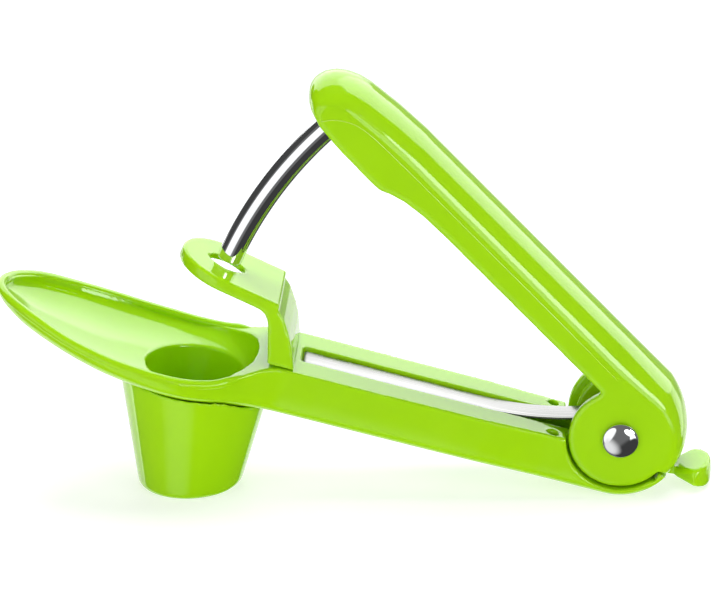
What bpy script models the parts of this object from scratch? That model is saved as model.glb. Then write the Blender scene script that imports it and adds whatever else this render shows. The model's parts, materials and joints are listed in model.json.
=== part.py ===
"""Handheld cherry pitter: spoon tray, pitting cup, guided punch rod, sprung squeeze handle, lock latch.

All sizes are in millimetres and are scaled to metres when each mesh is made.
The tool stands on the foot of its cup and on the round cradle under the hinge.
+X runs from the spoon tip to the hinge, Y is the hinge axis direction, Z is up.
"""

import math

import bmesh
import bpy
from mathutils import Vector

MM = 0.001
GAP = 0.3                      # clearance between pieces that touch

# ---- driving sizes ----
HINGE_X = 67.13                # hinge axis, from the middle of the tool's length
CRADLE_R = 16.2                # round cradle that the hinge end stands on
HINGE_Z = CRADLE_R
ARM_TILT = math.radians(15.4)  # the arm climbs this much from the hinge towards the tray
HANDLE_TILT = math.radians(47.2)
CUP_X = HINGE_X - 110.4        # middle of the cup's foot

ARM_TOP = -3.0                 # rail tops, measured square to the arm from the hinge axis
ARM_HALF = 13.2
HINGE_END_HALF = 12.0
SLOT_HALF = 4.6                # spring slot between the two rails
CHEEK_HALF = 7.7               # hub cheeks that stand between the handle's lugs
HUB_R = 11.2

LUG_R = 13.2                   # round end of the handle
LUG_INNER_HALF = CHEEK_HALF + GAP
LUG_OUTER_HALF = 10.8
HANDLE_TOP = 18.4              # ridge of the handle, square to its axis
HANDLE_UNDER = 5.1             # its lower edge
SIDE_DROP = 7.4                # the rounded top falls this far at the flat sides
REAR_SHARE = 0.5               # and this share of it at the rear of the lugs
REAR_WALL_IN = 15.2
REAR_WALL_OUT = 17.2
OPEN_STOP = -42.0              # world angle of the handle's rear edge when it is open
CRADLE_END = -43.3             # world angle at which the cradle stops

ROD_ARC = 108.0                # the punch rod bends round the hinge axis
ROD_R = 3.25
ROD_TIP = 24.5                 # the rod's two ends, as angles that climb from -X round the hinge
ROD_ROOT = 53.6
STRIKE_FACE = 48.2             # the handle's front face, a plane through the hinge axis
GUIDE_CREASE = (86.0, 23.3)    # a point of the guide plate's top: radius, and angle that climbs from -X
GUIDE_TILT = math.radians(26.5)
GUIDE_THICK = 3.4
GUIDE_HALF = 12.0
LOBE_REACH = 1.2               # the guide hole's two lobes reach this far past its round middle

WELL_TOP_R = 13.0
WELL_TOP_Z = 31.0
WELL_LOW_R = 10.7
WELL_WALL = 1.8
SEAT_Z = 20.3                  # floor that the cherry sits on
SEAT_THICK = 2.0

CUP_FOOT_R = 13.3
CUP_FLARE = 0.211              # growth of the cup's radius per millimetre of height
CUP_LEAN = 0.105               # its middle moves this much towards the hinge per millimetre
CUP_WALL = 2.0

PIN_R = 2.5
PIN_HEAD_R = 4.6
PIN_HEAD_DOME = 1.5

LATCH_R = 13.0                 # latch pivot, in polar form round the hinge
LATCH_ANGLE = -52.0
LATCH_PIN_R = 1.1

# Body of the arm, as stations along it from the hinge: distance, half width, rim, underside, squareness.
# The tray's floor is FLOOR_WALL above the underside.
BODY = (
    (161.9, 1.6, -3.9, -5.6, 2.2), (160.6, 5.2, -3.9, -7.0, 2.2), (157.0, 9.8, -4.2, -9.2, 2.3),
    (151.2, 14.4, -5.0, -11.7, 2.3), (141.6, 18.7, -7.0, -14.1, 2.4), (131.9, 21.1, -8.4, -15.9, 2.6),
    (124.7, 22.0, -9.1, -16.6, 2.8), (116.0, 22.4, -9.6, -16.9, 3.2), (109.0, 21.7, -9.5, -16.6, 3.8),
    (102.0, 19.4, -8.4, -16.2, 4.6), (96.0, 16.4, -5.9, -16.2, 5.6), (91.0, 14.3, -3.7, -16.2, 6.5),
    (86.0, 13.4, ARM_TOP, -16.2, 7.0), (60.0, ARM_HALF, ARM_TOP, -16.2, 7.0),
    (34.0, 12.9, ARM_TOP, -16.2, 7.0), (18.0, HINGE_END_HALF, ARM_TOP, -16.2, 7.0),
    (0.0, HINGE_END_HALF, ARM_TOP, -16.2, 7.0),
)
# The tray's hollow: distance along the arm and inner half width.
TRAY = (
    (159.7, 1.2), (158.3, 4.4), (155.4, 8.0), (150.9, 12.0), (141.2, 16.6), (131.4, 19.1),
    (124.1, 20.1), (115.4, 20.4), (108.4, 19.5), (101.7, 16.6), (97.2, 12.2), (94.6, 7.6), (93.6, 2.0),
)
FLOOR_WALL = 2.0
RIM_OVERCUT = 6.0


# ---- helpers ----
def clear_scene():
    for obj in list(bpy.data.objects):
        bpy.data.objects.remove(obj, do_unlink=True)


def tilted(angle, along, above):
    """World x and z of a point on a tilted axis that starts at the hinge and climbs towards -X."""
    x = HINGE_X - along * math.cos(angle) + above * math.sin(angle)
    z = HINGE_Z + along * math.sin(angle) + above * math.cos(angle)
    return x, z


def on_arm(along, above):
    return tilted(ARM_TILT, along, above)


def on_handle(along, above):
    return tilted(HANDLE_TILT, along, above)


def polar(radius, degrees):
    """World x and z of a point at a radius and world angle round the hinge."""
    angle = math.radians(degrees)
    return HINGE_X + radius * math.cos(angle), HINGE_Z + radius * math.sin(angle)


def climb(radius, degrees):
    """The same, with the angle climbing from -X, on the tray's side of the hinge."""
    return polar(radius, 180.0 - degrees)


def arc(radius, start, end, steps):
    return [polar(radius, start + (end - start) * i / steps) for i in range(steps + 1)]


def interpolate(keys, at):
    """Catmull-Rom values between key rows whose first entry falls from row to row."""
    last = len(keys) - 1
    k = 0
    while k < last - 1 and at < keys[k + 1][0]:
        k += 1
    a, b = keys[k], keys[k + 1]
    before, after = keys[max(k - 1, 0)], keys[min(k + 2, last)]
    span = b[0] - a[0]
    t = (at - a[0]) / span
    values = []
    for c in range(1, len(a)):
        slope_a = (b[c] - before[c]) / (b[0] - before[0]) * span
        slope_b = (after[c] - a[c]) / (after[0] - a[0]) * span
        h = (2 * t ** 3 - 3 * t ** 2 + 1, t ** 3 - 2 * t ** 2 + t, -2 * t ** 3 + 3 * t ** 2, t ** 3 - t ** 2)
        values.append(h[0] * a[c] + h[1] * slope_a + h[2] * b[c] + h[3] * slope_b)
    return values


def stations(keys, per_span):
    """Distances that fill each span between key rows with the same number of steps."""
    found = []
    for a, b in zip(keys, keys[1:]):
        found += [a[0] + (b[0] - a[0]) * i / per_span for i in range(per_span)]
    return found + [keys[-1][0]]


def power(value, exponent):
    return math.copysign(abs(value) ** exponent, value)


def mesh_object(name, bm):
    bmesh.ops.recalc_face_normals(bm, faces=bm.faces)
    mesh = bpy.data.meshes.new(name)
    bm.to_mesh(mesh)
    bm.free()
    obj = bpy.data.objects.new(name, mesh)
    bpy.context.scene.collection.objects.link(obj)
    return obj


def loft(name, rings):
    """Solid through closed rings of points, with flat ends."""
    bm = bmesh.new()
    rows = [[bm.verts.new(p) for p in ring] for ring in rings]
    count = len(rows[0])
    for low, high in zip(rows, rows[1:]):
        for i in range(count):
            j = (i + 1) % count
            bm.faces.new((low[i], low[j], high[j], high[i]))
    ends = [bm.faces.new(rows[0][::-1]), bm.faces.new(rows[-1])]
    bm.normal_update()
    bmesh.ops.triangulate(bm, faces=ends)
    return mesh_object(name, bm)


def extrude(name, outline, y_low, y_high):
    """Solid between two planes square to Y, from an outline of x and z."""
    return loft(name, [[(x, y, z) for x, z in outline] for y in (y_low, y_high)])


def circle(x, y, z, radius, steps=48):
    turns = [2 * math.pi * (i + 0.5) / steps for i in range(steps)]
    return [(x + radius * math.cos(t), y + radius * math.sin(t), z) for t in turns]


def upright(name, levels, steps=48):
    """Round solid from rows of height, middle x and radius."""
    return loft(name, [circle(x, 0.0, z, radius, steps) for z, x, radius in levels])


def cross_pin(name, x, z, levels, steps=40):
    """Round solid along Y from rows of y and radius."""
    turns = [2 * math.pi * (i + 0.37) / steps for i in range(steps)]
    rings = [[(x + r * math.cos(t), y, z + r * math.sin(t)) for t in turns] for y, r in levels]
    return loft(name, rings)


def hinge_drum(name, radius, y_low, y_high, steps=72):
    return cross_pin(name, HINGE_X, HINGE_Z, ((y_low, radius), (y_high, radius)), steps)


def combine(target, other, operation):
    """Boolean the other object into the target and remove the other."""
    modifier = target.modifiers.new(operation, "BOOLEAN")
    modifier.operation = operation
    modifier.object = other
    modifier.solver = "EXACT"
    bpy.context.view_layer.update()
    graph = bpy.context.evaluated_depsgraph_get()
    mesh = bpy.data.meshes.new_from_object(target.evaluated_get(graph))
    target.modifiers.clear()
    target.data = mesh
    bpy.data.objects.remove(other, do_unlink=True)


def cut(target, *others):
    for other in others:
        combine(target, other, "DIFFERENCE")


def join(target, *others):
    for other in others:
        combine(target, other, "UNION")


def clean(obj):
    """Weld the slivers that Booleans leave, make the faces triangles and scale to metres."""
    bm = bmesh.new()
    bm.from_mesh(obj.data)
    bmesh.ops.remove_doubles(bm, verts=bm.verts, dist=0.01)
    bmesh.ops.dissolve_degenerate(bm, edges=bm.edges, dist=0.005)
    bmesh.ops.triangulate(bm, faces=bm.faces)
    bmesh.ops.recalc_face_normals(bm, faces=bm.faces)
    bmesh.ops.scale(bm, vec=(MM, MM, MM), verts=bm.verts)
    bm.to_mesh(obj.data)
    bm.free()


def set_origin(obj, x, y, z):
    """Move the object's origin, given in millimetres, onto its joint axis."""
    shift = Vector((x, y, z))
    for vertex in obj.data.vertices:
        vertex.co -= shift
    obj.location = shift * MM


def material(name, colour, metallic, roughness):
    made = bpy.data.materials.new(name)
    made.use_nodes = True
    shader = made.node_tree.nodes["Principled BSDF"]
    shader.inputs["Base Color"].default_value = (*colour, 1.0)
    shader.inputs["Metallic"].default_value = metallic
    shader.inputs["Roughness"].default_value = roughness
    return made


def finish(obj, made):
    clean(obj)
    obj.data.materials.clear()
    obj.data.materials.append(made)
    return obj


# ---- the arm with its tray ----
def body_ring(along, half, rim, under, square, grow=0.0, steps=36):
    ring = []
    for i in range(steps + 1):
        t = math.pi * i / steps
        y = (half + grow) * power(math.cos(t), 2 / square)
        x, z = on_arm(along, rim - (rim - under + grow) * power(math.sin(t), 2 / square))
        ring.append((x, y, z))
    return ring


def cradle_ring(degrees, grow=0.0, steps=36):
    """The same section, swung round the hinge to make the round end."""
    ring = []
    depth = CRADLE_R + ARM_TOP
    for i in range(steps + 1):
        t = math.pi * i / steps
        y = HINGE_END_HALF * power(math.cos(t), 2 / 7.0)
        x, z = polar(-ARM_TOP + depth * power(math.sin(t), 2 / 7.0) + grow, degrees)
        ring.append((x, y, z))
    return ring


def body_outer(name, grow=0.0):
    rings = [body_ring(s, *interpolate(BODY, s), grow) for s in stations(BODY, 3)]
    bottom = -90.0 - math.degrees(ARM_TILT)
    steps = 12
    turns = [bottom + (CRADLE_END - bottom) * i / steps for i in range(1, steps + 1)]
    rings += [cradle_ring(turn, grow) for turn in turns]
    return loft(name, rings)


def tray_hollow():
    rings = []
    for s in stations(TRAY, 3):
        half = interpolate(TRAY, s)[0]
        _, rim, under, _ = interpolate(BODY, s)
        floor = under + FLOOR_WALL
        rim += 0.25
        ring = []
        steps = 30
        for i in range(steps + 1):
            t = math.pi * i / steps
            y = half * power(math.cos(t), 2 / 2.4)
            x, z = on_arm(s, rim - (rim - floor) * power(math.sin(t), 2 / 2.4))
            ring.append((x, y, z))
        x, z = on_arm(s, rim + RIM_OVERCUT)
        ring += [(x, -half, z), (x, half, z)]
        rings.append(ring)
    return loft("tray_hollow", rings)


def cup_middle(z):
    return CUP_X + CUP_LEAN * z


def cup_radius(z):
    return CUP_FOOT_R + CUP_FLARE * z


def well_radius(z):
    return WELL_LOW_R + (WELL_TOP_R - WELL_LOW_R) * (z - SEAT_Z) / (WELL_TOP_Z - SEAT_Z)


def well_tube():
    """Short tube under the tray's opening that ends in the cherry's seat."""
    levels = [(z, cup_middle(z), well_radius(z) + WELL_WALL) for z in (SEAT_Z - SEAT_THICK, 33.7)]
    return upright("well_tube", levels)


def well_bore():
    levels = [(z, cup_middle(z), well_radius(z)) for z in (SEAT_Z, 40.0)]
    return upright("well_bore", levels)


def pit_hole():
    """Round hole for the rod with four relief slits, as one outline."""
    middle = HINGE_X - math.sqrt(ROD_ARC ** 2 - (SEAT_Z - HINGE_Z) ** 2)
    hole_r, slit_reach, slit_half = 4.8, 8.0, 0.8
    edge = math.asin(slit_half / hole_r)
    outline = []
    for quarter in range(4):
        turn = quarter * math.pi / 2
        local = [(slit_reach, -slit_half), (slit_reach, slit_half)]
        steps = 6
        turns = [edge + (math.pi / 2 - 2 * edge) * i / steps for i in range(steps + 1)]
        local += [(hole_r * math.cos(t), hole_r * math.sin(t)) for t in turns]
        outline += [(middle + x * math.cos(turn) - y * math.sin(turn), x * math.sin(turn) + y * math.cos(turn))
                    for x, y in local]
    levels = (SEAT_Z - SEAT_THICK - 1.0, SEAT_Z + 1.0)
    return loft("pit_hole", [[(x, y, z) for x, y in outline] for z in levels])


def spring_slot():
    deep = -9.0
    shelf = ARM_TOP - 1.7
    outline = [on_arm(82.5, ARM_TOP + 4), on_arm(82.5, shelf), on_arm(74.0, shelf), on_arm(72.0, deep),
               on_arm(14.0, deep), on_arm(8.0, -3.9), on_arm(-20.0, -3.9), on_arm(-20.0, ARM_TOP + 20)]
    return extrude("spring_slot", outline, -SLOT_HALF, SLOT_HALF)


def underside_recess():
    outline = [on_arm(20.0, -20.0), on_arm(22.0, -11.5), on_arm(80.0, -11.5), on_arm(82.0, -20.0)]
    return extrude("underside_recess", outline, -9.0, 9.0)


def latch_room():
    x, z = HINGE_X, HINGE_Z
    outline = [(x + 4.4, z - 1.0), (x + 4.4, z - 20.0), (x + 24.0, z - 20.0), (x + 24.0, z - 1.0)]
    return extrude("latch_room", outline, -3.9, 3.9)


def latch_pivot():
    return polar(LATCH_R, LATCH_ANGLE)


def base_arm(green):
    body = body_outer("base_arm")
    join(body, well_tube())
    cut(body, tray_hollow(), well_bore(), pit_hole())
    # the lugs of the handle turn in a round pocket on each side of the hub
    for side in (-1, 1):
        low, high = sorted((side * CHEEK_HALF, side * 20.0))
        cut(body, hinge_drum("lug_pocket", LUG_R + 0.5, low, high))
    join(body, hinge_drum("hub", HUB_R, -CHEEK_HALF + 0.05, CHEEK_HALF - 0.05))
    cut(body, spring_slot(), underside_recess(), latch_room())
    cut(body, hinge_drum("pin_bore", PIN_R + 0.25, -20.0, 20.0, 40))
    x, z = latch_pivot()
    cut(body, cross_pin("latch_bore", x, z, ((-20.0, LATCH_PIN_R + 0.2), (20.0, LATCH_PIN_R + 0.2)), 24))
    cut(body, bracket_tenon(GAP))
    for side in (-1, 1):
        x, z = on_arm(16.8, ARM_TOP)
        cut(body, upright_hole(x, side * 9.4, z))
    return finish(body, green)


def upright_hole(x, y, z):
    return loft("end_hole", [circle(x, y, level, 1.4, 24) for level in (z - 6.0, z + 4.0)])


# ---- the cup under the tray ----
def pit_cup(green):
    top = 40.0
    foot = 1.4
    levels = ((0.0, cup_middle(0.0), CUP_FOOT_R - 1.2), (0.45, cup_middle(0.45), CUP_FOOT_R - 0.3),
              (foot, cup_middle(foot), cup_radius(foot)), (top, cup_middle(top), cup_radius(top)))
    cup = upright("pit_cup", levels, 72)
    hollow = upright("cup_hollow", ((-2.0, cup_middle(-2.0), cup_radius(-2.0) - CUP_WALL - 0.4),
                                    (top + 2, cup_middle(top + 2), cup_radius(top + 2) - CUP_WALL)), 72)
    cut(cup, hollow)
    ring_low, ring_high = 21.6, 23.6
    ring = upright("cup_ring", ((ring_low, cup_middle(ring_low), cup_radius(ring_low) - 0.6),
                                (ring_high, cup_middle(ring_high), cup_radius(ring_high) - 0.6)), 72)
    clear_r = 13.5
    cut(ring, upright("ring_hole", ((ring_low - 1, cup_middle(22.6), clear_r),
                                    (ring_high + 1, cup_middle(22.6), clear_r)), 48))
    join(cup, ring)
    cut(cup, body_outer("trim", GAP))
    # nothing of the cup is left above the arm
    above = [on_arm(70.0, -12.6), on_arm(150.0, -12.6), on_arm(150.0, 40.0), on_arm(70.0, 40.0)]
    cut(cup, extrude("above", above, -40.0, 40.0))
    return finish(cup, green)


# ---- the guide bracket that the rod slides through ----
def on_guide(along, above):
    """A point of the guide plate; its top is `above` 0, and `along` is near the distance from the hinge."""
    radius, degrees = GUIDE_CREASE
    x, z = climb(radius, degrees)
    run = along - radius
    return (x - run * math.cos(GUIDE_TILT) + above * math.sin(GUIDE_TILT),
            z + run * math.sin(GUIDE_TILT) + above * math.cos(GUIDE_TILT))


def bracket_tenon(grow):
    outline = [on_arm(89.6 + grow, ARM_TOP + 2.0), on_arm(89.6 + grow, -9.0 - grow),
               on_arm(84.9 - grow, -9.0 - grow), on_arm(84.9 - grow, ARM_TOP + 2.0)]
    return extrude("bracket_tenon", outline, -7.0 - grow, 7.0 + grow)


def guide_plate():
    """Flat plate with a round nose, square to the rod."""
    nose = [(ROD_ARC + GUIDE_HALF * math.cos(t), GUIDE_HALF * math.sin(t))
            for t in [math.radians(-90 + 7.5 * i) for i in range(25)]]
    plan = nose + [(92.4, GUIDE_HALF), (92.4, -GUIDE_HALF)]
    rings = []
    for above, inset in ((-GUIDE_THICK, 0.5), (-GUIDE_THICK + 0.5, 0.0), (-0.5, 0.0), (0.0, 0.5)):
        ring = []
        for along, y in plan:
            shrink = (GUIDE_HALF - inset) / GUIDE_HALF
            nose_along = ROD_ARC + (along - ROD_ARC) * shrink if along > ROD_ARC else along
            x, z = on_guide(nose_along, above)
            ring.append((x, y * shrink, z))
        rings.append(ring)
    return loft("guide_plate", rings)


def bracket_leg():
    """The leg under the plate's rear edge, with a concave corner in front; it widens towards its foot."""
    front_x, rear_x, fillet = -88.0, -81.9, 5.0
    foot = [(x, HINGE_Z + (ARM_TOP + GAP - x * math.sin(ARM_TILT)) / math.cos(ARM_TILT))
            for x in (rear_x, front_x - 0.4)]
    corner_x = front_x - fillet
    plate_under = GUIDE_THICK - 0.15    # the corner ends just inside the plate
    crease_x, crease_z = climb(*GUIDE_CREASE)
    drop = plate_under + fillet + (HINGE_X + corner_x - crease_x) * math.sin(GUIDE_TILT)
    corner_z = crease_z - drop / math.cos(GUIDE_TILT)
    steps = 6
    turns = [(math.pi / 2 - GUIDE_TILT) * i / steps for i in range(steps + 1)]
    corner = [(corner_x + fillet * math.cos(t), corner_z + fillet * math.sin(t)) for t in turns]
    crown = [(-83.9, HINGE_Z + 32.9), (-82.8, HINGE_Z + 29.0), (-82.1, HINGE_Z + 25.0)]
    local = crown + foot + corner
    outline = [on_guide(92.7, -1.2)] + [(HINGE_X + x, z) for x, z in local] + [on_guide(97.2, -1.2)]
    low_z, top_z = outline[4][1], outline[0][1]
    half_low, half_top = ARM_HALF - 0.1, GUIDE_HALF - 0.1
    rings = []
    for side in (-1, 1):
        ring = []
        for x, z in outline:
            share = min((z - low_z) / (top_z - low_z), 1.0)
            ring.append((x, side * (half_low + (half_top - half_low) * share), z))
        rings.append(ring)
    return loft("bracket_leg", rings)


def guide_hole():
    """Hole for the rod, with a lobe on each side along the plate."""
    rings = []
    for above in (-GUIDE_THICK - 2.0, 2.0):
        ring = []
        for i in range(96):
            t = 2 * math.pi * i / 96
            reach = ROD_R + 0.45 + LOBE_REACH * math.cos(t) ** 4
            x, z = on_guide(ROD_ARC + reach * math.cos(t), above)
            ring.append((x, reach * math.sin(t), z))
        rings.append(ring)
    return loft("guide_hole", rings)


def guide_pocket():
    """Round pocket under the plate, which leaves the hole a thin edge."""
    radius = 8.3
    turns = [2 * math.pi * (i + 0.5) / 64 for i in range(64)]
    rings = []
    for above in (-GUIDE_THICK - 1.0, -1.8):
        flat = [(*on_guide(ROD_ARC + radius * math.cos(t), above), radius * math.sin(t)) for t in turns]
        rings.append([(x, y, z) for x, z, y in flat])
    return loft("guide_pocket", rings)


def guide_bracket(green):
    bracket = guide_plate()
    bracket.name = "guide_bracket"
    join(bracket, bracket_leg(), bracket_tenon(0.0))
    cut(bracket, guide_pocket(), guide_hole())
    return finish(bracket, green)


# ---- the leaf spring ----
def leaf_spring(steel):
    thick = 0.7
    half = 3.9
    middle = [on_arm(s, ARM_TOP - 1.05) for s in (82.0, 70.0, 58.0, 46.0, 38.0)]
    middle += [on_arm(31.0, -3.9), on_arm(24.0, -3.2), on_arm(18.0, -2.1), on_arm(12.0, -0.5)]
    middle += [on_arm(6.0, 1.9), on_arm(1.0, 4.8), on_arm(-2.4, 8.4), on_arm(-3.6, 12.2)]
    rings = []
    last = len(middle) - 1
    for i, (x, z) in enumerate(middle):
        ax, az = middle[max(i - 1, 0)]
        bx, bz = middle[min(i + 1, last)]
        length = math.hypot(bx - ax, bz - az)
        nx, nz = -(bz - az) / length * thick / 2, (bx - ax) / length * thick / 2
        rings.append([(x + nx, -half, z + nz), (x + nx, half, z + nz),
                      (x - nx, half, z - nz), (x - nx, -half, z - nz)])
    return finish(loft("leaf_spring", rings), steel)


# ---- the hinge pin ----
def dome_levels(face, side):
    """Rows of y and radius for a domed head that starts at a flat face."""
    rows = [(side * face, PIN_HEAD_R)]
    rows += [(side * (face + 0.35 + (PIN_HEAD_DOME - 0.35) * math.sin(t)), PIN_HEAD_R * math.cos(t))
             for t in [math.radians(a) for a in (0, 20, 40, 58, 74, 84)]]
    return rows


def hinge_pin(chrome):
    """Pin and near head in one piece; a blind socket in its far end takes the cap's stem."""
    face = LUG_OUTER_HALF + GAP
    pin = cross_pin("hinge_pin", HINGE_X, HINGE_Z,
                    dome_levels(face, -1)[::-1] + [(-face + 0.01, PIN_R), (9.5, PIN_R)], 48)
    socket = cross_pin("socket", HINGE_X, HINGE_Z, ((3.0, 1.3), (20.0, 1.3)), 24)
    cut(pin, socket)
    set_origin(pin, HINGE_X, 0.0, HINGE_Z)
    return finish(pin, chrome)


def hinge_pin_cap(chrome):
    face = LUG_OUTER_HALF + GAP
    cap = cross_pin("hinge_pin_cap", HINGE_X, HINGE_Z,
                    [(4.0, 1.0), (face - 0.01, 1.0)] + dome_levels(face, 1), 48)
    set_origin(cap, HINGE_X, 0.0, HINGE_Z)
    return finish(cap, chrome)


# ---- the lock latch ----
def lock_latch(green):
    """A thumb paddle, a neck and a hooked finger that stands inside the handle's rear wall."""
    px, pz = latch_pivot()
    x, z = HINGE_X, HINGE_Z
    finger = arc(11.6, -56.0, 2.0, 10) + [polar(13.5, 2.0), polar(13.5, -10.0), polar(12.7, -13.0)]
    finger += arc(12.7, -18.0, -44.0, 4) + [(px + 1.6, pz + 1.2), (px + 1.0, pz - 1.8)]
    latch = extrude("lock_latch", finger, -3.2, 3.2)
    neck = [(px - 0.5, pz + 1.9), (x + 15.6, z - 11.4), (x + 15.6, z - 13.4), (px - 0.5, pz - 1.9)]
    join(latch, extrude("neck", neck, -3.0, 3.0))
    join(latch, cross_pin("barrel", px, pz, ((-3.5, 2.3), (3.5, 2.3)), 32))
    join(latch, latch_paddle())
    bore = LATCH_PIN_R + 0.25
    cut(latch, cross_pin("bore", px, pz, ((-9.0, bore), (9.0, bore)), 24))
    set_origin(latch, px, 0.0, pz)
    return finish(latch, green)


def latch_paddle():
    """Fan-shaped paddle with a round end in plan, thicker towards its tip."""
    start, middle, reach, half = 14.0, 18.6, 23.3, 7.3
    plan = [(start, -3.6), (start, 3.6)]
    plan += [(middle + (reach - middle) * math.sin(t), half * math.cos(t))
             for t in [math.radians(10 * i) for i in range(19)]]
    rings = []
    for share, inset in ((0.0, 0.7), (0.15, 0.15), (0.5, 0.0), (0.85, 0.15), (1.0, 0.7)):
        ring = []
        for across, y in plan:
            shrink = 1.0 - inset / half
            along = middle + (across - middle) * shrink
            low = -13.5 - 0.27 * (along - start)
            high = -11.2 + 0.2 * (along - start)
            ring.append((HINGE_X + along, y * shrink, HINGE_Z + low + (high - low) * share))
        rings.append(ring)
    return loft("latch_paddle", rings)


def latch_pin(steel):
    x, z = latch_pivot()
    pin = cross_pin("latch_pin", x, z, ((-7.4, LATCH_PIN_R), (7.4, LATCH_PIN_R)), 24)
    set_origin(pin, x, 0.0, z)
    return finish(pin, steel)


# ---- the squeeze handle ----
def handle_outline(inset):
    """Ridge outline as rows of x, z and how much of the side drop each point takes."""
    top = HANDLE_TOP - inset
    rear = REAR_WALL_OUT - inset
    rows = []
    steps = 12
    square_on = 90.0 - math.degrees(HANDLE_TILT)
    for i in range(steps + 1):
        degrees = OPEN_STOP + (square_on - OPEN_STOP) * i / steps
        rise = max(0.0, degrees / square_on)
        radius = rear + (top - rear) * rise ** 2
        rows.append((*polar(radius, degrees), REAR_SHARE + (0.8 - REAR_SHARE) * rise))
    for along, share in ((6.0, 0.9), (14.0, 1.0), (60.0, 1.0), (90.0, 1.0)):
        rows.append((*on_handle(along, top), share))
    rows.append((*on_handle(99.0, top - 0.5), 1.0))
    nose_u, nose_v, nose_along, nose_above = 104.6, 7.3, 14.6 - inset, top - 1.3 - 7.3
    for i in range(1, 7):
        t = math.radians(15.0 * i)
        along, above = nose_u + nose_along * math.sin(t), nose_v + nose_above * math.cos(t)
        rows.append((*on_handle(along, above), 1.0 - 0.25 * (i / 6) ** 3))
    return rows


def handle_under():
    """Front face, chin, straight lower edge and the round lug end, with no side drop."""
    rows = []
    for along, above, share in ((118.8, 5.3, 0.6), (116.8, 3.1, 0.45)):
        rows.append((*on_handle(along, above), share))
    rows.append((*climb(112.2, STRIKE_FACE), 0.2))
    for radius in (104.0, 96.0, 92.2):
        rows.append((*climb(radius, STRIKE_FACE), 0.0))
    for along, above in ((89.6, 1.7), (87.0, 2.9), (83.0, 4.1), (77.0, 4.9), (70.0, HANDLE_UNDER),
                         (45.0, HANDLE_UNDER), (18.0, HANDLE_UNDER)):
        rows.append((*on_handle(along, above), 0.0))
    start = 180.0 - math.degrees(HANDLE_TILT + math.asin(HANDLE_UNDER / LUG_R))
    for i in range(21):
        degrees = start + (360.0 + OPEN_STOP - start) * i / 20
        rows.append((*polar(LUG_R, degrees), 0.0))
    return rows


def pillow(name, rows, half, drop, centre_rows):
    """Solid whose outline draws in towards its sides by a quarter ellipse."""
    levels = (-1.0, -0.985, -0.94, -0.87, -0.76, -0.6, -0.4, -0.2, 0.0, 0.2, 0.4, 0.6, 0.76, 0.87, 0.94, 0.985, 1.0)
    rings = []
    for level in levels:
        fall = drop * (1.0 - math.sqrt(max(0.0, 1.0 - level ** 2)))
        ring = []
        for (x, z, share), (cx, cz) in zip(rows, centre_rows):
            length = max(math.hypot(cx - x, cz - z), 0.001)
            move = min(fall * share, length)
            ring.append((x + (cx - x) / length * move, half * level, z + (cz - z) / length * move))
        rings.append(ring)
    return loft(name, rings)


def inward_targets(rows):
    """For each outline point, the spot on the handle's lower line that it draws in towards."""
    targets = []
    for x, z, _ in rows:
        dx, dz = HINGE_X - x, z - HINGE_Z
        along = dx * math.cos(HANDLE_TILT) + dz * math.sin(HANDLE_TILT)
        along = min(max(along, 0.0), 104.0)
        targets.append(on_handle(along, 0.0 if along == 0.0 else 6.0))
    return targets


def handle_cavity():
    """Channel that is open below, for the hub, the spring and a light moulding."""
    inset = 2.3
    turns = [OPEN_STOP - 17.0 + 10.0 * i for i in range(10)]
    rows = [(*polar(REAR_WALL_IN, turn), 0.0 if turn < OPEN_STOP else REAR_SHARE) for turn in turns]
    roof = HANDLE_TOP - inset
    for along in (4.0, 30.0, 60.0, 85.0):
        rows.append((*on_handle(along, roof), 1.0))
    for along, above in ((86.0, 6.0), (86.0, -8.0), (0.0, -30.0), (-24.0, -24.0)):
        rows.append((*on_handle(along, above), 0.0))
    return pillow("handle_cavity", rows, LUG_INNER_HALF, 4.6, inward_targets(rows))


def rod_socket():
    turns = [STRIKE_FACE - 6.0 + (ROD_ROOT + 0.3 - STRIKE_FACE + 6.0) * i / 8 for i in range(9)]
    return loft("rod_socket", [rod_ring(turn, ROD_R + GAP) for turn in turns])


def latch_opening():
    """Slot in the rear wall that the latch's neck stands in."""
    outline = [polar(13.0, -60.0), polar(22.0, -60.0), polar(22.0, -20.0), polar(13.0, -20.0)]
    return extrude("latch_opening", outline, -4.2, 4.2)


def latch_catch():
    outline = arc(13.9, -19.8, -14.0, 3) + arc(15.9, -14.0, -19.8, 3)
    return extrude("latch_catch", outline, -3.6, 3.6)


def handle_shell(green):
    rows = handle_outline(0.0) + handle_under()
    shell = pillow("handle_shell", rows, LUG_OUTER_HALF, SIDE_DROP, inward_targets(rows))
    cut(shell, handle_cavity(), latch_opening(), rod_socket())
    join(shell, latch_catch())
    cut(shell, hinge_drum("pin_bore", PIN_R + 0.3, -20.0, 20.0, 40))
    set_origin(shell, HINGE_X, 0.0, HINGE_Z)
    return finish(shell, green)


# ---- the punch rod ----
def rod_ring(degrees, radius, steps=32):
    ring = []
    for i in range(steps):
        t = 2 * math.pi * i / steps
        x, z = climb(ROD_ARC + radius * math.cos(t), degrees)
        ring.append((x, radius * math.sin(t), z))
    return ring


def punch_rod(chrome):
    bevel = math.degrees(0.5 / ROD_ARC)
    rings = [rod_ring(ROD_TIP, ROD_R - 0.5), rod_ring(ROD_TIP + bevel, ROD_R)]
    steps = 24
    rings += [rod_ring(ROD_TIP + bevel + (ROD_ROOT - ROD_TIP - bevel) * i / steps, ROD_R)
              for i in range(1, steps + 1)]
    rod = loft("punch_rod", rings)
    set_origin(rod, HINGE_X, 0.0, HINGE_Z)
    return finish(rod, chrome)


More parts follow.
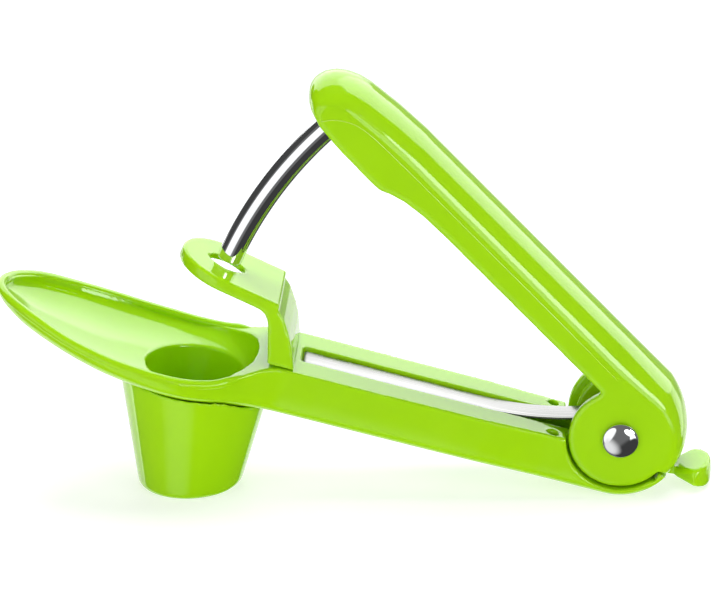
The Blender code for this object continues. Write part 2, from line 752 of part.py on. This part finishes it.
def main():
    clear_scene()
    green = material("green_plastic", (0.36, 0.69, 0.01), 0.0, 0.18)
    chrome = material("chrome", (0.8, 0.8, 0.8), 1.0, 0.08)
    steel = material("brushed_steel", (0.72, 0.72, 0.70), 1.0, 0.3)
    base_arm(green)
    pit_cup(green)
    guide_bracket(green)
    leaf_spring(steel)
    hinge_pin(chrome)
    hinge_pin_cap(chrome)
    lock_latch(green)
    latch_pin(steel)
    handle_shell(green)
    punch_rod(chrome)


main()
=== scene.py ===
"""Looks, light and camera for the cherry pitter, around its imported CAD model.

Lengths are in metres unless a name ends in _MM. The frame is the CAD's: +X from the spoon tip to the
hinge, Y along the hinge axis, Z up, standing on z = 0.
"""

import json
import math

import bpy
from mathutils import Matrix, Vector


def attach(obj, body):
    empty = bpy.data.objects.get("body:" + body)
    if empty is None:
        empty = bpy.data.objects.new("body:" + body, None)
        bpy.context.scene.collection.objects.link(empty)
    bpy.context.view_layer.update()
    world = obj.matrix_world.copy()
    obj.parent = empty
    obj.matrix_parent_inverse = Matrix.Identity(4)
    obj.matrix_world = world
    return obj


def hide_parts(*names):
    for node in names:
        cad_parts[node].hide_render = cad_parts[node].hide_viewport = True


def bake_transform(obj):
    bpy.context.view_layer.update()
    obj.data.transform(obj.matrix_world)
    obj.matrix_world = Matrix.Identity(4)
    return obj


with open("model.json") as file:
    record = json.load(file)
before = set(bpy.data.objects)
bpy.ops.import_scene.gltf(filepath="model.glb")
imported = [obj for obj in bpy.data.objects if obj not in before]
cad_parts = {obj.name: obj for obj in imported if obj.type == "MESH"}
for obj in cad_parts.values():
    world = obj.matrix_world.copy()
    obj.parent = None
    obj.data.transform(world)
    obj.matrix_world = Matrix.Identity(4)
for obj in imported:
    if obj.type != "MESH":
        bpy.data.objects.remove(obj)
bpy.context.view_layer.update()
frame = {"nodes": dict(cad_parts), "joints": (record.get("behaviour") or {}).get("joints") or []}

MM = 0.001
SQUEEZE = next(j for j in frame["joints"] if j["name"] == "squeeze")
HINGE = Vector(SQUEEZE["pos_m"])
ARM_TILT = math.radians(15.4)
HANDLE_TILT = math.radians(47.2)

# ---- sizes repeated from the CAD, in millimetres ----
ROD_ARC_MM = 108.0
ROD_R_MM = 3.25
ROD_TIP, ROD_ROOT = 24.5, 53.6      # degrees that climb from -X round the hinge
ROD_EDGE_MM = 0.5                   # a chamfer in the CAD, rounded here
PIN_FACE_MM = 11.1
PIN_R_MM = 2.5
PIN_HEAD_MM = 4.6
PIN_RIM_MM = 0.35
PIN_DOME_MM = 1.5
# Middle line of the leaf spring, as distance along the arm and height.
LEAF = (
    (82.0, -4.05), (70.0, -4.05), (58.0, -4.05), (46.0, -4.05), (38.0, -4.05), (31.0, -3.9), (24.0, -3.2),
    (18.0, -2.1), (12.0, -0.5), (6.0, 1.9), (1.0, 4.8), (-2.4, 8.4), (-3.6, 12.2),
)

# ---- sizes that only this model has, in millimetres ----
PIN_CHAMFER_MM = 0.12
LEAF_THICK_MM, LEAF_HALF_MM = 0.62, 3.85      # just inside the CAD's strip
LEAF_EDGE_MM = 0.28
# Tray rim, as distance along the arm, half width to the middle of the wall, and height.
RIM = (
    (95.5, 14.6, -5.0), (99.0, 17.2, -7.0), (103.0, 19.0, -8.5), (109.0, 20.4, -9.35),
    (116.0, 21.1, -9.45), (124.7, 20.85, -9.0), (131.9, 20.2, -8.3), (141.6, 17.8, -6.9),
    (151.2, 13.3, -4.95), (157.0, 8.7, -4.15), (159.9, 4.4, -3.9), (160.75, 0.0, -3.85),
)
BEAD_MM = 1.2
BEAD_DROP_MM = 0.65
BEAD_FADE = 14      # steps of the path over which the bead's ends sink into the wall
# Parting line on the handle's side, as distance along the handle and height.
SEAM = (
    (112.2, 3.9), (110.6, 6.2), (108.2, 8.2), (104.8, 9.7), (99.0, 10.4), (85.0, 10.6),
    (60.0, 10.6), (35.0, 10.6), (12.0, 10.4),
)
SEAM_OUT_MM = 10.74      # from the middle plane to the line's axis, just inside the handle's side
SEAM_R_MM = 0.13

# ---- remade CAD nodes, as node, voxel in metres, smoothing rounds and body ----
MOULDED = (
    ("base_arm", 0.0004, 5, "arm"),
    ("pit_cup", 0.0005, 5, "arm"),
    ("guide_bracket", 0.0004, 6, "arm"),
    ("handle_shell", 0.0005, 14, "handle"),
    ("lock_latch", 0.0003, 8, "latch"),
)

# ---- colours, linear ----
GREEN = (0.345, 0.665, 0.003)
GREEN_DEEP = (0.325, 0.640, 0.002)
# pale green for painted highlights, on sharp edges and on the parting line
GREEN_PAINTED_HIGHLIGHT = (0.430, 0.735, 0.022)
# pale colour of the raised parting line: a painted highlight
PARTING_LINE_HIGHLIGHT = (0.520, 0.760, 0.140)
CHROME = (0.86, 0.87, 0.88)
CHROME_HAZED = (0.80, 0.81, 0.82)
STEEL = (0.20, 0.20, 0.197)
STEEL_WORN = (0.31, 0.31, 0.305)
PAPER = (0.56, 0.56, 0.56)
PAPER_PALE = (0.58, 0.58, 0.58)

# ---- studio ----
# What the glossy surfaces see of the studio: an open level, then patches as direction, inner and outer
# angle, and level. Later patches cover earlier ones.
OPEN_LIGHT = 0.16
PATCHES = (
    ((0.0, 1.0, 0.0), 64.0, 68.0, 2.7),          # white panel behind
    ((0.55, 0.55, 0.62), 28.0, 32.0, 4.3),       # big softbox above it, drawn along the handle's ridge
    ((0.0, 0.75, -0.66), 44.0, 51.0, 1.2),       # white table behind
    ((0.46, 0.89, 0.02), 13.0, 17.0, 0.45),      # gap between panel and table
    ((0.60, 0.35, -0.72), 22.0, 27.0, 0.05),     # black flag low on the right, behind
    ((-0.85, 0.22, 0.27), 27.0, 30.0, 0.06),     # black flag on the left
    ((-0.66, 0.75, 0.08), 9.0, 12.0, 0.05),      # its edge, behind the rod
    ((-0.60, -0.78, 0.02), 27.0, 30.0, 1.2),     # front-left softbox
    ((0.36, -0.93, 0.02), 11.0, 13.0, 2.6),      # white card beside the small front softbox
    ((0.62, -0.77, 0.16), 8.5, 10.0, 9.0),       # small front softbox
    ((0.52, -0.80, -0.30), 12.0, 15.0, 2.6),     # white card below it
    ((0.45, -0.5, -0.75), 32.0, 40.0, 0.05),     # black flag low on the right
    ((-0.38, -0.70, -0.60), 8.0, 27.0, 0.9),     # white table in front, on the left
)
# Diffuse fill, as name, place, width, height and power; none of it shows in reflections.
FILLS = (
    ("fill_left", (-1.3, -1.3, 1.2), 1.2, 1.2, 12.9),
    ("fill_right", (1.3, -1.4, 1.1), 1.2, 1.2, 12.1),
    ("fill_top", (0.1, 0.3, 1.7), 1.4, 1.0, 25.0),
    ("fill_low", (0.1, -1.8, 0.45), 1.6, 0.7, 7.2),
)
FILL_AIM = (0.0, 0.0, 0.03)
FLOOR_DROP = 0.00005      # keeps the sweep just under the tool's feet

# ---- camera ----
CAMERA_PLACE = Vector((0.05226, -0.8394, 0.3911))
CAMERA_FORWARD = Vector((-0.0564, 0.92493, -0.37601))
CAMERA_RIGHT = Vector((0.99863, 0.05234, -0.02097))
SENSOR_MM, LENS_MM = 36.0, 181.0


# ---- points ----
def on_arm(along, above, y=0.0):
    """Point above the arm's axis, in millimetres from the hinge towards the tray."""
    x = HINGE.x + (-along * math.cos(ARM_TILT) + above * math.sin(ARM_TILT)) * MM
    z = HINGE.z + (along * math.sin(ARM_TILT) + above * math.cos(ARM_TILT)) * MM
    return Vector((x, y * MM, z))


def on_handle(along, above, y=0.0):
    """Point above the handle's axis, in millimetres from the hinge towards its nose."""
    x = HINGE.x + (-along * math.cos(HANDLE_TILT) + above * math.sin(HANDLE_TILT)) * MM
    z = HINGE.z + (along * math.sin(HANDLE_TILT) + above * math.cos(HANDLE_TILT)) * MM
    return Vector((x, y * MM, z))


def climb(radius, degrees, y=0.0):
    """Point at a radius round the hinge; the angle climbs from -X."""
    turn = math.radians(degrees)
    return Vector((HINGE.x - radius * MM * math.cos(turn), y * MM, HINGE.z + radius * MM * math.sin(turn)))


# ---- materials ----
class Nodes:
    """A material under construction: adds nodes and links them by socket name."""

    def __init__(self, name):
        self.material = bpy.data.materials.new(name)
        self.material.use_nodes = True
        self.tree = self.material.node_tree
        self.shader = self.tree.nodes["Principled BSDF"]
        self.place = self.add("ShaderNodeTexCoord").outputs["Object"]

    def add(self, kind, **values):
        node = self.tree.nodes.new(kind)
        for key, value in values.items():
            setattr(node, key, value)
        return node

    def link(self, source, target):
        self.tree.links.new(source, target)

    def noise(self, scale, detail=2.0, stretch=None):
        node = self.add("ShaderNodeTexNoise")
        node.inputs["Scale"].default_value = scale
        node.inputs["Detail"].default_value = detail
        place = self.place
        if stretch:
            mapping = self.add("ShaderNodeMapping")
            mapping.inputs["Scale"].default_value = stretch[0]
            mapping.inputs["Rotation"].default_value = stretch[1]
            self.link(place, mapping.inputs["Vector"])
            place = mapping.outputs["Vector"]
        self.link(place, node.inputs["Vector"])
        return node.outputs["Fac"]

    def ramp(self, source, low, high, start, end):
        """Maps a value between two positions onto two values or colours."""
        node = self.add("ShaderNodeValToRGB")
        node.color_ramp.elements[0].position = start
        node.color_ramp.elements[1].position = end
        for element, value in zip(node.color_ramp.elements, (low, high)):
            colour = value if isinstance(value, tuple) else (value,) * 3
            element.color = (*colour, 1.0)
        self.link(source, node.inputs["Fac"])
        return node.outputs["Color"]

    def mix(self, share, a, b):
        node = self.add("ShaderNodeMix", data_type="RGBA")
        self.link(share, node.inputs["Factor"])
        for source, name in ((a, "A"), (b, "B")):
            sockets = [s for s in node.inputs if s.name == name and s.type == "RGBA"]
            if isinstance(source, tuple):
                sockets[0].default_value = (*source, 1.0)
            else:
                self.link(source, sockets[0])
        return [s for s in node.outputs if s.type == "RGBA"][0]

    def bump(self, height, strength, distance):
        node = self.add("ShaderNodeBump")
        node.inputs["Strength"].default_value = strength
        node.inputs["Distance"].default_value = distance
        self.link(height, node.inputs["Height"])
        self.link(node.outputs["Normal"], self.shader.inputs["Normal"])

    def set(self, **values):
        for key, value in values.items():
            self.shader.inputs[key.replace("_", " ")].default_value = value


def green_plastic(name, low, high):
    """Glossy moulded plastic: slight flow clouding, sharp convex edges paler as a painted highlight, soft
    orange peel.
    """
    m = Nodes(name)
    clouds = m.ramp(m.noise(38.0, 3.0), low, high, 0.35, 0.65)
    # painted highlight: sharp convex edges are mixed towards a paler green
    edges = m.ramp(m.add("ShaderNodeNewGeometry").outputs["Pointiness"], 0.0, 0.45, 0.52, 0.62)
    m.link(m.mix(edges, clouds, GREEN_PAINTED_HIGHLIGHT), m.shader.inputs["Base Color"])
    m.link(m.ramp(m.noise(160.0, 4.0), 0.045, 0.10, 0.35, 0.7), m.shader.inputs["Roughness"])
    m.bump(m.noise(210.0, 1.0), 0.02, 0.0002)
    m.set(IOR=1.49, Subsurface_Weight=0.1, Subsurface_Scale=0.002)
    m.shader.inputs["Subsurface Radius"].default_value = (0.6, 1.0, 0.15)
    return m.material


def chrome():
    """Polished plate with faint haze and hairline wear."""
    m = Nodes("polished chrome")
    m.link(m.ramp(m.noise(90.0, 3.0), CHROME, CHROME_HAZED, 0.4, 0.7), m.shader.inputs["Base Color"])
    hairlines = m.noise(900.0, 4.0, ((1.0, 6.0, 1.0), (0.0, 0.0, 0.0)))
    m.link(m.ramp(hairlines, 0.035, 0.09, 0.4, 0.75), m.shader.inputs["Roughness"])
    m.bump(m.noise(260.0, 2.0), 0.02, 0.0002)
    m.set(Metallic=1.0)
    return m.material


def spring_steel():
    """Cold-rolled strip: fine lines along its length, a little dulled by handling."""
    m = Nodes("rolled spring steel")
    lines = m.noise(300.0, 5.0, ((0.03, 6.0, 0.03), (0.0, ARM_TILT, 0.0)))
    m.link(m.ramp(lines, STEEL, STEEL_WORN, 0.3, 0.7), m.shader.inputs["Base Color"])
    m.link(m.ramp(m.noise(120.0, 3.0), 0.20, 0.34, 0.3, 0.7), m.shader.inputs["Roughness"])
    m.bump(lines, 0.12, 0.0001)
    m.set(Metallic=1.0, Anisotropic=0.4)
    return m.material


def floor_paper():
    """White sweep with a barely visible tooth, which gives off a little light of its own."""
    m = Nodes("white studio sweep")
    m.link(m.ramp(m.noise(12.0, 3.0), PAPER, PAPER_PALE, 0.3, 0.7), m.shader.inputs["Base Color"])
    m.link(m.ramp(m.noise(60.0, 2.0), 0.55, 0.65, 0.3, 0.7), m.shader.inputs["Roughness"])
    m.bump(m.noise(900.0, 2.0), 0.05, 0.0002)
    m.set(Specular_IOR_Level=0.2, Emission_Strength=0.6)
    m.shader.inputs["Emission Color"].default_value = (1.0, 1.0, 1.0, 1.0)
    return m.material


# ---- meshes ----
def piece(name, mesh, material, body, slot, *nodes):
    """Object from a mesh, smooth, riding on a body and standing for CAD nodes."""
    obj = bpy.data.objects.new(name, mesh)
    bpy.context.scene.collection.objects.link(obj)
    mesh.materials.clear()
    mesh.materials.append(material)
    mesh.polygons.foreach_set("use_smooth", [True] * len(mesh.polygons))
    if body:
        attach(obj, body)
    if nodes:
        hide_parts(*nodes)
    return obj


def baked(obj):
    """The object's mesh with its modifiers applied."""
    bpy.context.view_layer.update()
    graph = bpy.context.evaluated_depsgraph_get()
    return bpy.data.meshes.new_from_object(obj.evaluated_get(graph))


def moulded(node, voxel, rounds, material, body, slot):
    """The CAD node remade with even small faces and soft moulded edges."""
    source = frame["nodes"][node]
    work = bpy.data.objects.new("work", source.data.copy())
    bpy.context.scene.collection.objects.link(work)
    remesh = work.modifiers.new("even", "REMESH")
    remesh.mode = "VOXEL"
    remesh.voxel_size = voxel
    remesh.use_smooth_shade = True
    soften = work.modifiers.new("soften", "SMOOTH")
    soften.factor = 0.5
    soften.iterations = rounds
    mesh = baked(work)
    bpy.data.objects.remove(work, do_unlink=True)
    return piece(node + "_moulded", mesh, material, body, slot, node)


def skin(rings, closed=True, caps=True):
    """Mesh through rings of points; a ring closes on itself, and the end rings get caps."""
    count = len(rings[0])
    faces = []
    for i in range(len(rings) - 1):
        for j in range(count if closed else count - 1):
            a, b = i * count + j, i * count + (j + 1) % count
            faces.append((a, b, b + count, a + count))
    if caps:
        last = (len(rings) - 1) * count
        faces.append(tuple(range(count))[::-1])
        faces.append(tuple(range(last, last + count)))
    mesh = bpy.data.meshes.new("skin")
    mesh.from_pydata([tuple(p) for ring in rings for p in ring], [], faces)
    mesh.validate()
    mesh.update()
    return mesh


def punch_rod(material):
    """Bent round bar with a rounded lower edge."""
    around, along, edge = 96, 160, ROD_EDGE_MM
    levels = []
    for k in range(7):
        turn = math.pi / 2 * k / 6
        levels.append((ROD_TIP + math.degrees(edge * (1 - math.sin(turn)) / ROD_ARC_MM),
                       ROD_R_MM - edge + edge * math.cos(turn)))
    levels = levels[::-1]
    start = levels[-1][0]
    levels += [(start + (ROD_ROOT - start) * i / along, ROD_R_MM) for i in range(1, along + 1)]
    rings = []
    for degrees, radius in levels:
        turns = [2 * math.pi * i / around for i in range(around)]
        rings.append([climb(ROD_ARC_MM + radius * math.cos(t), degrees, radius * math.sin(t))
                      for t in turns])
    return piece("punch_rod_polished", skin(rings), material, "handle", "chrome", "punch_rod")


def rivet(name, side, node, material):
    """Half of the hinge pin with its domed head and a thin square rim."""
    rows = [(0.1, PIN_R_MM), (PIN_FACE_MM, PIN_R_MM), (PIN_FACE_MM, PIN_HEAD_MM - PIN_CHAMFER_MM),
            (PIN_FACE_MM + PIN_CHAMFER_MM, PIN_HEAD_MM)]
    for k in range(25):
        t = math.radians(3.7 * k)
        rise = PIN_RIM_MM + (PIN_DOME_MM - PIN_RIM_MM) * math.sin(t)
        rows.append((PIN_FACE_MM + rise, PIN_HEAD_MM * math.cos(t)))
    rings = []
    around = 96
    for y, radius in rows:
        turns = [2 * math.pi * i / around * side for i in range(around)]
        rings.append([HINGE + Vector((radius * math.cos(t), side * y, radius * math.sin(t))) * MM
                      for t in turns])
    return piece(name, skin(rings), material, "arm", "chrome", node)


def smooth_path(points, per_span):
    """Catmull-Rom curve through points."""
    path = []
    last = len(points) - 1
    for i in range(last):
        p0, p1, p2, p3 = points[max(i - 1, 0)], points[i], points[i + 1], points[min(i + 2, last)]
        for k in range(per_span):
            t = k / per_span
            path.append(0.5 * (2 * p1 + (p2 - p0) * t + (2 * p0 - 5 * p1 + 4 * p2 - p3) * t ** 2
                               + (3 * p1 - p0 - 3 * p2 + p3) * t ** 3))
    path.append(points[last])
    return path


def leaf_spring(material):
    """Strip with rolled edges that lies between the rails and bends up under the handle."""
    thick, half, edge = LEAF_THICK_MM, LEAF_HALF_MM, LEAF_EDGE_MM
    path = smooth_path([on_arm(along, above) for along, above in LEAF], 8)
    section = []
    for cy, cn, first in ((half - edge, thick / 2 - edge, 0), (-half + edge, thick / 2 - edge, 90),
                          (-half + edge, -thick / 2 + edge, 180), (half - edge, -thick / 2 + edge, 270)):
        for k in range(5):
            t = math.radians(first + 22.5 * k)
            section.append((cy + edge * math.cos(t), cn + edge * math.sin(t)))
    rings = []
    for i, point in enumerate(path):
        forward = (path[min(i + 1, len(path) - 1)] - path[max(i - 1, 0)]).normalized()
        normal = forward.cross(Vector((0.0, 1.0, 0.0))).normalized()
        rings.append([point + Vector((0.0, y * MM, 0.0)) + normal * n * MM for y, n in section])
    obj = piece("leaf_spring_strip", skin(rings), material, None, "spring_steel", "leaf_spring")
    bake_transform(obj)
    return obj


def tube(path, radius, around=12):
    """Round bar along a path in an XZ plane, with thinner ends; the radius is in millimetres."""
    rings = []
    last = len(path) - 1
    for i, point in enumerate(path):
        forward = (path[min(i + 1, last)] - path[max(i - 1, 0)]).normalized()
        side = forward.cross(Vector((0.0, 1.0, 0.0))).normalized()
        out = side.cross(forward)
        size = radius * MM * (0.35 if i in (0, last) else 1.0)
        turns = [2 * math.pi * k / around for k in range(around)]
        rings.append([point + side * size * math.cos(t) + out * size * math.sin(t) for t in turns])
    return skin(rings)


def rim_bead(material):
    """Rolled bead round the open rim of the tray, from one side of the well to the other round the tip."""
    side = [on_arm(s, above - BEAD_DROP_MM, -half) for s, half, above in RIM]
    other = [on_arm(s, above - BEAD_DROP_MM, half) for s, half, above in RIM[-2::-1]]
    path = smooth_path(side + other, 10)
    rings = []
    last = len(path) - 1
    lift = Vector((math.sin(ARM_TILT), 0.0, math.cos(ARM_TILT)))
    for i, point in enumerate(path):
        forward = (path[min(i + 1, last)] - path[max(i - 1, 0)]).normalized()
        out = forward.cross(lift).normalized()
        up = out.cross(forward)
        fade = min(1.0, min(i, last - i) / BEAD_FADE)
        size = BEAD_MM * MM * (0.25 + 0.75 * math.sin(fade * math.pi / 2))
        turns = [2 * math.pi * k / 20 for k in range(20)]
        rings.append([point - up * (BEAD_MM * MM - size) + (out * math.cos(t) + up * math.sin(t)) * size
                      for t in turns])
    return piece("tray_rim_bead", skin(rings), material, "arm", "green_plastic")


def parting_line(name, side, material):
    """Fine raised line where the two halves of the handle's mould met."""
    path = smooth_path([on_handle(u, v, side * SEAM_OUT_MM) for u, v in SEAM], 10)
    return piece(name, tube(path, SEAM_R_MM), material, "handle", "green_plastic")


# ---- the studio ----
def floor(material):
    """Sweep that lies flat under the tool and curves up far behind it."""
    rings = []
    flat, radius, wall = 1.6, 0.8, 2.5
    profile = [(-2.5, 0.0), (0.0, 0.0), (flat, 0.0)]
    profile += [(flat + radius * math.sin(math.radians(a)), radius * (1 - math.cos(math.radians(a))))
                for a in range(6, 91, 6)]
    profile.append((flat + radius, wall))
    for y, z in profile:
        rings.append([Vector((x, y, z - FLOOR_DROP)) for x in (-4.0, -1.0, 0.0, 1.0, 4.0)])
    obj = bpy.data.objects.new("studio_sweep", skin(rings, closed=False, caps=False))
    bpy.context.scene.collection.objects.link(obj)
    obj.data.materials.append(material)
    obj.data.polygons.foreach_set("use_smooth", [True] * len(obj.data.polygons))
    obj.visible_glossy = False


def lamp(name, place, aim, width, height, power):
    """Area lamp that lights surfaces and doesn't show in gloss."""
    data = bpy.data.lights.new(name, "AREA")
    data.shape = "RECTANGLE"
    data.size, data.size_y = width, height
    data.energy = power
    obj = bpy.data.objects.new(name, data)
    bpy.context.scene.collection.objects.link(obj)
    obj.location = place
    obj.visible_glossy = False
    obj.rotation_mode = "QUATERNION"
    obj.rotation_quaternion = (Vector(aim) - Vector(place)).to_track_quat("-Z", "Y")


def studio():
    """World in patches, which only gloss sees, and soft lamps, which gloss doesn't see."""
    world = bpy.data.worlds.new("studio")
    world.use_nodes = True
    tree = world.node_tree
    place = tree.nodes.new("ShaderNodeTexCoord").outputs["Generated"]
    level = None
    for direction, inner, outer, radiance in PATCHES:
        dot = tree.nodes.new("ShaderNodeVectorMath")
        dot.operation = "DOT_PRODUCT"
        dot.inputs[1].default_value = Vector(direction).normalized()
        tree.links.new(place, dot.inputs[0])
        share = tree.nodes.new("ShaderNodeMapRange")
        share.interpolation_type = "SMOOTHSTEP"
        share.inputs["From Min"].default_value = math.cos(math.radians(outer))
        share.inputs["From Max"].default_value = math.cos(math.radians(inner))
        tree.links.new(dot.outputs["Value"], share.inputs["Value"])
        mix = tree.nodes.new("ShaderNodeMix")
        tree.links.new(share.outputs["Result"], mix.inputs["Factor"])
        mix.inputs["B"].default_value = radiance
        if level is None:
            mix.inputs["A"].default_value = OPEN_LIGHT
        else:
            tree.links.new(level, mix.inputs["A"])
        level = mix.outputs["Result"]
    tree.links.new(level, tree.nodes["Background"].inputs["Color"])
    bpy.context.scene.world = world
    world.cycles_visibility.diffuse = False
    for name, place, width, height, power in FILLS:
        lamp(name, place, FILL_AIM, width, height, power)
    bpy.context.scene.view_settings.view_transform = "Standard"
    bpy.context.scene.view_settings.look = "None"


def camera():
    """Camera at the place that a fit to the photo gave."""
    data = bpy.data.cameras.new("camera")
    data.sensor_width = SENSOR_MM
    data.lens = LENS_MM
    data.clip_start, data.clip_end = 0.05, 20.0
    obj = bpy.data.objects.new("camera", data)
    bpy.context.scene.collection.objects.link(obj)
    forward = CAMERA_FORWARD.normalized()
    right = (CAMERA_RIGHT - forward * CAMERA_RIGHT.dot(forward)).normalized()
    turn = Matrix((right, right.cross(forward), -forward)).transposed()
    obj.matrix_world = Matrix.Translation(CAMERA_PLACE) @ turn.to_4x4()
    bpy.context.scene.camera = obj


def main():
    green = green_plastic("moulded green plastic", GREEN_DEEP, GREEN)
    # the parting line is a real raised ridge; its pale colours are a painted highlight
    parting_line_highlight = green_plastic("parting line with painted highlight", GREEN_PAINTED_HIGHLIGHT, PARTING_LINE_HIGHLIGHT)
    plate, steel = chrome(), spring_steel()
    for node, voxel, rounds, body in MOULDED:
        moulded(node, voxel, rounds, green, body, "green_plastic")
    punch_rod(plate)
    rivet("rivet_near", -1, "hinge_pin", plate)
    rivet("rivet_far", 1, "hinge_pin_cap", plate)
    leaf_spring(steel)
    rim_bead(green)
    parting_line("parting_line_near", -1, parting_line_highlight)
    parting_line("parting_line_far", 1, parting_line_highlight)
    latch_pin = frame["nodes"]["latch_pin"]
    latch_pin.data.materials.clear()
    latch_pin.data.materials.append(steel)
    floor(floor_paper())
    studio()
    camera()


main()
